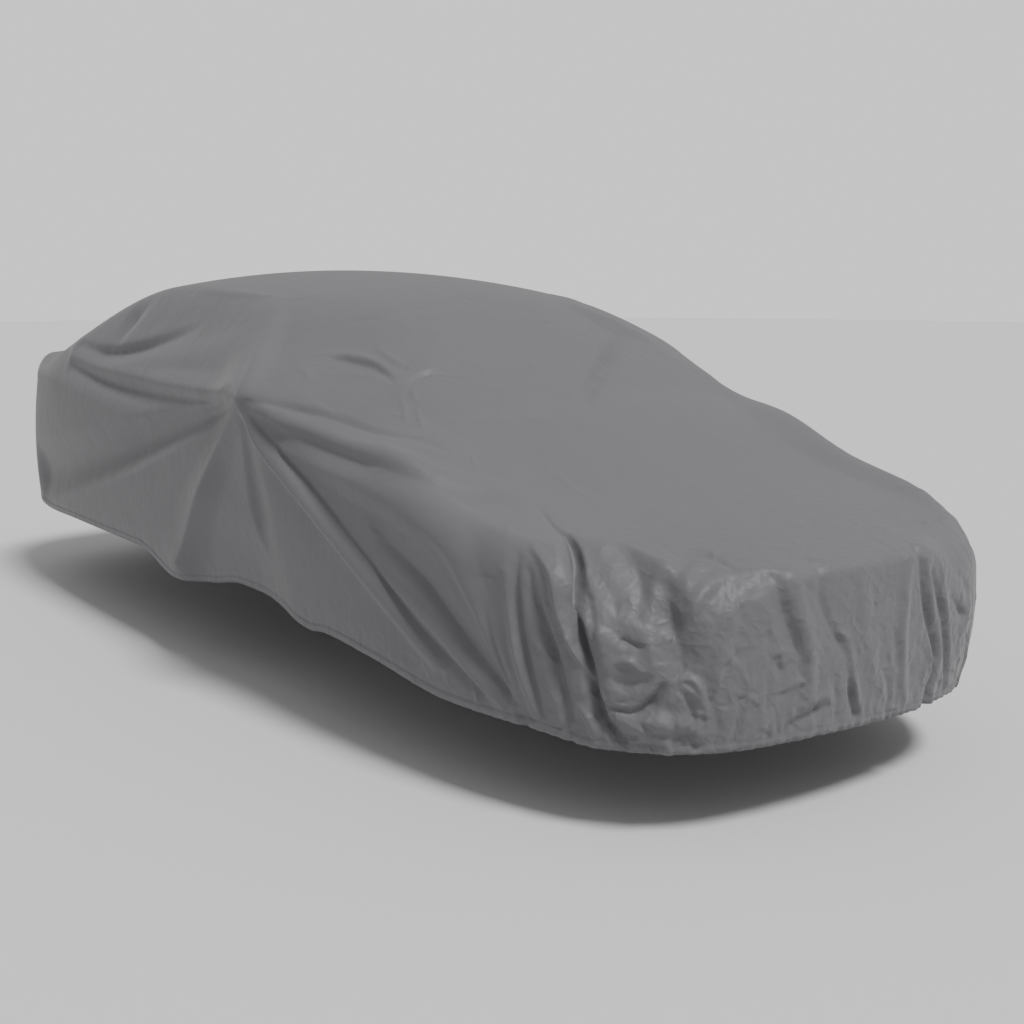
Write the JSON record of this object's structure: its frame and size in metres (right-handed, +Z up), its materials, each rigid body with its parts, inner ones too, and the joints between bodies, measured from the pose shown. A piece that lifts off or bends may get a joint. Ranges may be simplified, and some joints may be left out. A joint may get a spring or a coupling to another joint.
{
  "type": "fitted car cover, draped",
  "caption": "Fitted car cover of thin grey non-woven cloth, draped as over a saloon, hollow, with side peaks, pull folds and a gathered elastic hem.",
  "frame": {"origin": "underside of the cloth at the roof, over the middle of the wheelbase, where the roof of the covered vehicle carries it; the ground is 1.433 m below", "axes": "+X towards the nose, +Y to the left side, +Z up"},
  "size_m": [4.8495, 2.0151, 1.2321],
  "materials": {
    "cover_cloth": "matte spunbond non-woven, grey"
  },
  "bodies": {
    "root": {"cover": "cover_cloth"}
  },
  "joints": []
}
